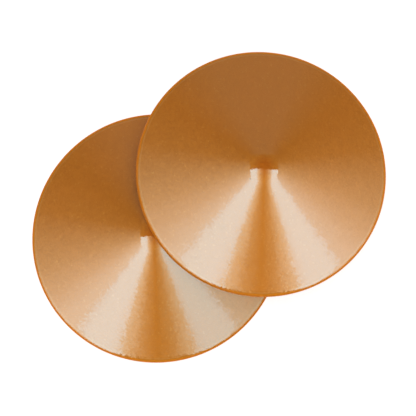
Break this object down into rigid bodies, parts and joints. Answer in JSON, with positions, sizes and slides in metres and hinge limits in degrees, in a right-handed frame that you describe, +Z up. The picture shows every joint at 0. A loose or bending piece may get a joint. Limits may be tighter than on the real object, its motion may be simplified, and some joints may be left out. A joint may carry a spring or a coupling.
{
  "type": "finger cymbals",
  "caption": "Small closed conical cymbals with a satin copper-bronze face, one leaning on the other, each with a hidden elastic finger loop under its tip.",
  "frame": {"origin": "middle of the pair's footprint, on the surface that both cymbals stand on", "axes": "+Z up; +X towards the right-hand side, where the front cymbal lies; +Y away from the viewer"},
  "size_m": [0.085, 0.0744, 0.015],
  "materials": {
    "bronze_lacquer": "satin metallic copper-bronze under clear lacquer",
    "brass_fitting": "drawn and rolled brass, lightly tarnished",
    "elastic": "black woven elastic"
  },
  "bodies": {
    "rear_cymbal": {"rear_cymbal_shell": "bronze_lacquer", "rear_anchor_plate": "brass_fitting", "rear_strap_staple": "brass_fitting"},
    "rear_loop": {"rear_finger_loop": "elastic", "rear_loop_clip": "brass_fitting"},
    "front_cymbal": {"front_cymbal_shell": "bronze_lacquer", "front_anchor_plate": "brass_fitting", "front_strap_staple": "brass_fitting"},
    "front_loop": {"front_finger_loop": "elastic", "front_loop_clip": "brass_fitting"}
  },
  "joints": [
    {"name": "rear_loop_swing", "type": "hinge", "parent": "rear_cymbal", "child": "rear_loop", "pos_m": [-0.01247, -0.00724, 0.0057], "axis": [0, -1, 0], "range_deg": [0, 120]},
    {"name": "front_cymbal_lift", "type": "slide", "parent": "rear_cymbal", "child": "front_cymbal", "axis": [0, 0, 1], "range_m": [0, 0.06]},
    {"name": "front_loop_swing", "type": "hinge", "parent": "front_cymbal", "child": "front_loop", "pos_m": [0.01356, 0.00779, 0.01069], "axis": [-0.5, 0.866, 0], "range_deg": [-6, 38]}
  ]
}
